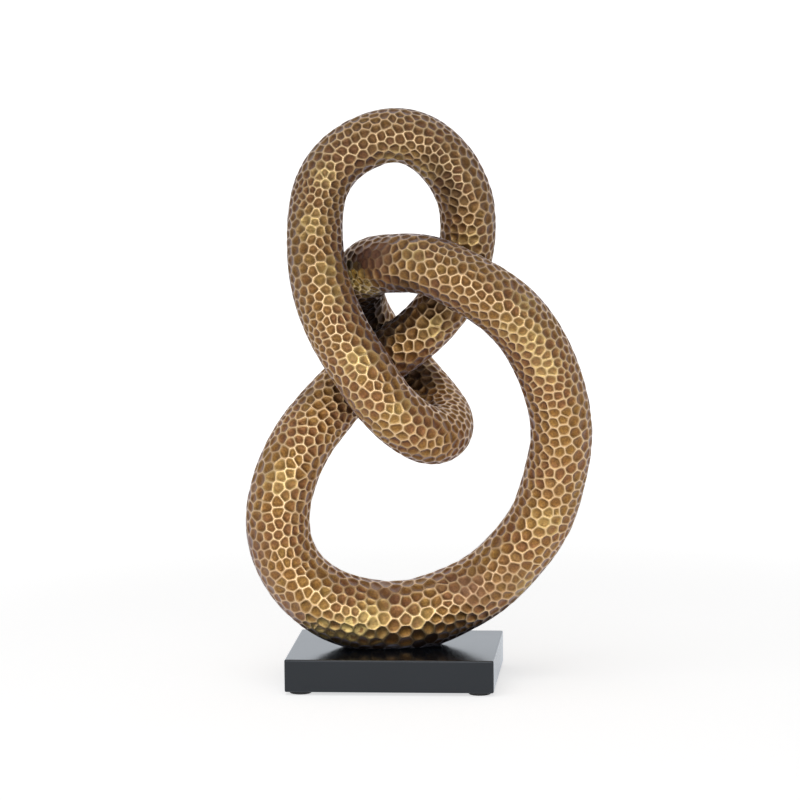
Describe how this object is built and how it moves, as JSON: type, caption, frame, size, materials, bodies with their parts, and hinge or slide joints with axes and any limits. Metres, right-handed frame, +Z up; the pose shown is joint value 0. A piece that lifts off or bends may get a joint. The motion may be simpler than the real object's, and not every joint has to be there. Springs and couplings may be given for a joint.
{
  "type": "abstract knot sculpture",
  "caption": "Free-standing abstract sculpture: a thick hammered gold-bronze tube tied in a closed open knot, standing on a flat black block with small feet.",
  "frame": {"origin": "middle of the whole object's outline seen from above, on the surface that the four feet stand on; the block's centre is 16 mm to the left of it and 7 mm in front of it", "axes": "+Z up, through the sculpture's height; +X to the right as the front is seen; -Y towards the viewer, so that the front strand of the knot faces -Y and the curl bulges towards +Y"},
  "size_m": [0.2121, 0.1142, 0.3522],
  "materials": {
    "gilded_resin": "satin",
    "black_lacquer": "satin",
    "foot_rubber": "matte",
    "zinc_steel": "satin",
    "insert_brass": "satin"
  },
  "bodies": {
    "root": {"knot": "gilded_resin", "base_block": "black_lacquer", "foot_front_left": "foot_rubber", "foot_front_right": "foot_rubber", "foot_back_left": "foot_rubber", "foot_back_right": "foot_rubber", "screw_left": "zinc_steel", "screw_right": "zinc_steel", "washer_left": "zinc_steel", "washer_right": "zinc_steel", "insert_left": "insert_brass", "insert_right": "insert_brass"}
  },
  "joints": []
}
